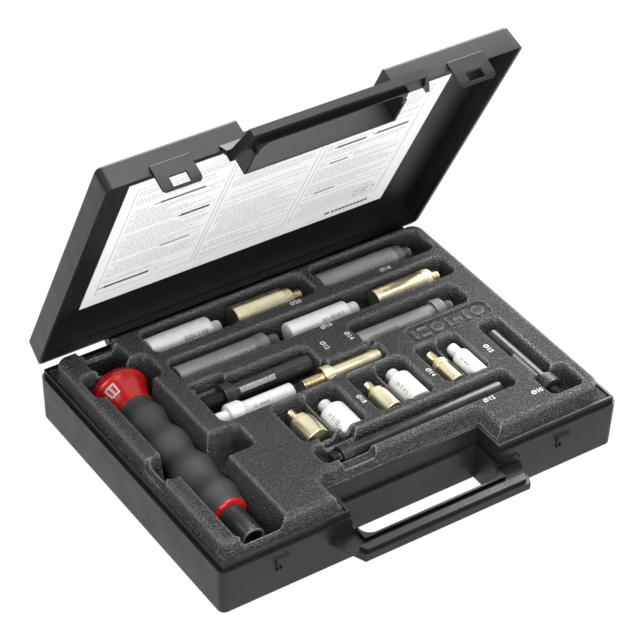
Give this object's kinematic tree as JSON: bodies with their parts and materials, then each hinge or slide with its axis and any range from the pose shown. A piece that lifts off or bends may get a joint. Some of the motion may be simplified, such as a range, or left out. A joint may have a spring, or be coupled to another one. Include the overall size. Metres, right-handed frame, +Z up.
{
  "type": "interchangeable drift set",
  "caption": "Hinged plastic carrying case holding a striking handle and screw-in steel, brass and nylon drifts in a moulded tray.",
  "frame": {"origin": "centre of the case's bottom face", "axes": "+X right along the front, +Y to the back, +Z up; the lid hinge runs along X at the back"},
  "size_m": [0.3016, 0.2629, 0.2587],
  "materials": {
    "case_plastic": "fine-grained moulded black",
    "tray_plastic": "leather-grained charcoal",
    "pin_steel": "bright",
    "card": "coated print",
    "black_steel": "black oxide, satin",
    "brass": "turned, bright",
    "nylon": "translucent white",
    "red_plastic": "gloss",
    "grip_rubber": "matte"
  },
  "bodies": {
    "case": {"case_base": "case_plastic", "tray_insert": "tray_plastic", "hinge_pin_left": "pin_steel", "hinge_pin_right": "pin_steel"},
    "lid": {"case_lid": "case_plastic", "instruction_card": "card"},
    "latch_left": {"latch_left": "case_plastic"},
    "latch_right": {"latch_right": "case_plastic"},
    "handle_tool": {"socket_shaft": "black_steel", "grip_ring": "red_plastic", "grip_sleeve": "grip_rubber", "striking_cap": "red_plastic"},
    "nylon_drift_20_long": {"nylon_drift_20_long": "nylon"},
    "brass_drift_20_long": {"brass_drift_20_long": "brass"},
    "steel_drift_18_long": {"steel_drift_18_long": "black_steel"},
    "steel_drift_16_long": {"steel_drift_16_long": "black_steel"},
    "nylon_drift_16_long": {"nylon_drift_16_long": "nylon"},
    "brass_drift_16_long": {"brass_drift_16_long": "brass"},
    "steel_drift_12_long": {"steel_drift_12_long": "black_steel"},
    "nylon_drift_12_long": {"nylon_drift_12_long": "nylon"},
    "brass_drift_12_long": {"brass_drift_12_long": "brass"},
    "steel_drift_14_long": {"steel_drift_14_long": "black_steel"},
    "brass_drift_18_short": {"brass_drift_18_short": "brass"},
    "nylon_drift_20_short": {"nylon_drift_20_short": "nylon"},
    "brass_drift_14_short": {"brass_drift_14_short": "brass"},
    "nylon_drift_18_short": {"nylon_drift_18_short": "nylon"},
    "brass_drift_10_short": {"brass_drift_10_short": "brass"},
    "nylon_drift_12_short": {"nylon_drift_12_short": "nylon"},
    "steel_drift_12_extended": {"steel_drift_12_extended": "black_steel"},
    "steel_drift_10_long": {"steel_drift_10_long": "black_steel"}
  },
  "joints": [
    {"name": "lid_hinge", "type": "hinge", "parent": "case", "child": "lid", "pos_m": [0, 0.11663, 0.0357], "axis": [-1, 0, 0], "range_deg": [-63.27, 46.73]},
    {"name": "latch_left_flex", "type": "hinge", "parent": "lid", "child": "latch_left", "pos_m": [-0.1067, 0.01668, 0.24194], "axis": [-1, 0, 0], "range_deg": [0, 25], "stiffness_Nm_per_rad": 0.05},
    {"name": "latch_right_flex", "type": "hinge", "parent": "lid", "child": "latch_right", "pos_m": [0.1067, 0.01668, 0.24194], "axis": [-1, 0, 0], "range_deg": [0, 25], "stiffness_Nm_per_rad": 0.05},
    {"name": "handle_tool_lift", "type": "slide", "parent": "case", "child": "handle_tool", "axis": [0, 0, 1], "range_m": [0, 0.045]},
    {"name": "nylon_drift_20_long_lift", "type": "slide", "parent": "case", "child": "nylon_drift_20_long", "axis": [0, 0, 1], "range_m": [0, 0.045]},
    {"name": "brass_drift_20_long_lift", "type": "slide", "parent": "case", "child": "brass_drift_20_long", "axis": [0, 0, 1], "range_m": [0, 0.045]},
    {"name": "steel_drift_18_long_lift", "type": "slide", "parent": "case", "child": "steel_drift_18_long", "axis": [0, 0, 1], "range_m": [0, 0.045]},
    {"name": "steel_drift_16_long_lift", "type": "slide", "parent": "case", "child": "steel_drift_16_long", "axis": [0, 0, 1], "range_m": [0, 0.045]},
    {"name": "nylon_drift_16_long_lift", "type": "slide", "parent": "case", "child": "nylon_drift_16_long", "axis": [0, 0, 1], "range_m": [0, 0.045]},
    {"name": "brass_drift_16_long_lift", "type": "slide", "parent": "case", "child": "brass_drift_16_long", "axis": [0, 0, 1], "range_m": [0, 0.045]},
    {"name": "steel_drift_12_long_lift", "type": "slide", "parent": "case", "child": "steel_drift_12_long", "axis": [0, 0, 1], "range_m": [0, 0.045]},
    {"name": "nylon_drift_12_long_lift", "type": "slide", "parent": "case", "child": "nylon_drift_12_long", "axis": [0, 0, 1], "range_m": [0, 0.045]},
    {"name": "brass_drift_12_long_lift", "type": "slide", "parent": "case", "child": "brass_drift_12_long", "axis": [0, 0, 1], "range_m": [0, 0.045]},
    {"name": "steel_drift_14_long_lift", "type": "slide", "parent": "case", "child": "steel_drift_14_long", "axis": [0, 0, 1], "range_m": [0, 0.045]},
    {"name": "brass_drift_18_short_lift", "type": "slide", "parent": "case", "child": "brass_drift_18_short", "axis": [0, 0, 1], "range_m": [0, 0.045]},
    {"name": "nylon_drift_20_short_lift", "type": "slide", "parent": "case", "child": "nylon_drift_20_short", "axis": [0, 0, 1], "range_m": [0, 0.045]},
    {"name": "brass_drift_14_short_lift", "type": "slide", "parent": "case", "child": "brass_drift_14_short", "axis": [0, 0, 1], "range_m": [0, 0.045]},
    {"name": "nylon_drift_18_short_lift", "type": "slide", "parent": "case", "child": "nylon_drift_18_short", "axis": [0, 0, 1], "range_m": [0, 0.045]},
    {"name": "brass_drift_10_short_lift", "type": "slide", "parent": "case", "child": "brass_drift_10_short", "axis": [0, 0, 1], "range_m": [0, 0.045]},
    {"name": "nylon_drift_12_short_lift", "type": "slide", "parent": "case", "child": "nylon_drift_12_short", "axis": [0, 0, 1], "range_m": [0, 0.045]},
    {"name": "steel_drift_12_extended_lift", "type": "slide", "parent": "case", "child": "steel_drift_12_extended", "axis": [0, 0, 1], "range_m": [0, 0.045]},
    {"name": "steel_drift_10_long_lift", "type": "slide", "parent": "case", "child": "steel_drift_10_long", "axis": [0, 0, 1], "range_m": [0, 0.045]}
  ]
}
